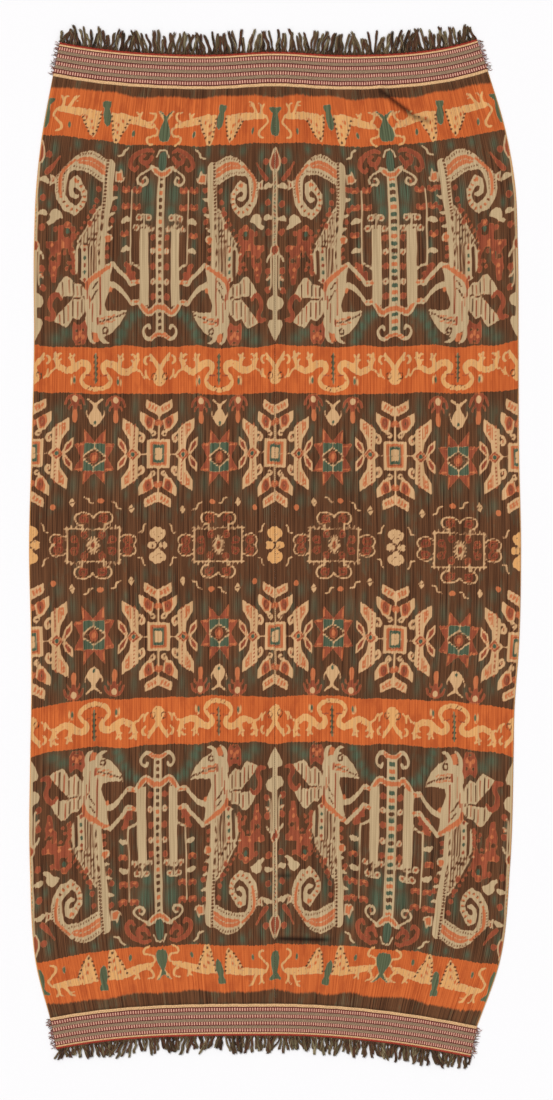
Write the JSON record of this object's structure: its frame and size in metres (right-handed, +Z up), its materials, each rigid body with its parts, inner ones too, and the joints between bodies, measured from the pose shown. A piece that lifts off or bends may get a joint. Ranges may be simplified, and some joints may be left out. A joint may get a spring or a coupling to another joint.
{
  "type": "ikat woven cloth",
  "caption": "Warp ikat shoulder cloth of two joined loom panels with mirrored animal and flower bands, twined end bands and cut fringes, laid flat.",
  "frame": {"origin": "on the floor under the middle of the cloth, at the bottom centre of the whole part's box", "axes": "+Y along the warp towards the upper end in the picture, +X across the cloth to the right, +Z up out of the face"},
  "size_m": [1.2, 2.5589, 0.0107],
  "materials": {
    "warp_ikat_cotton": "matt handspun cotton, resist-dyed brown, orange, teal and cream",
    "twined_band_cotton": "matt twined cotton, striped grey-tan, maroon and pink",
    "cut_warp_ends": "matt plied cotton yarn ends, dark brown",
    "band_yarn_ends": "matt cotton yarn ends, faded red"
  },
  "bodies": {
    "root": {"panel_left": "warp_ikat_cotton", "panel_right": "warp_ikat_cotton", "band_top": "twined_band_cotton", "band_bottom": "twined_band_cotton", "fringe_top": "cut_warp_ends", "fringe_bottom": "cut_warp_ends", "fray_top_left": "band_yarn_ends", "fray_top_right": "band_yarn_ends", "fray_bottom_left": "band_yarn_ends", "fray_bottom_right": "band_yarn_ends"}
  },
  "joints": []
}
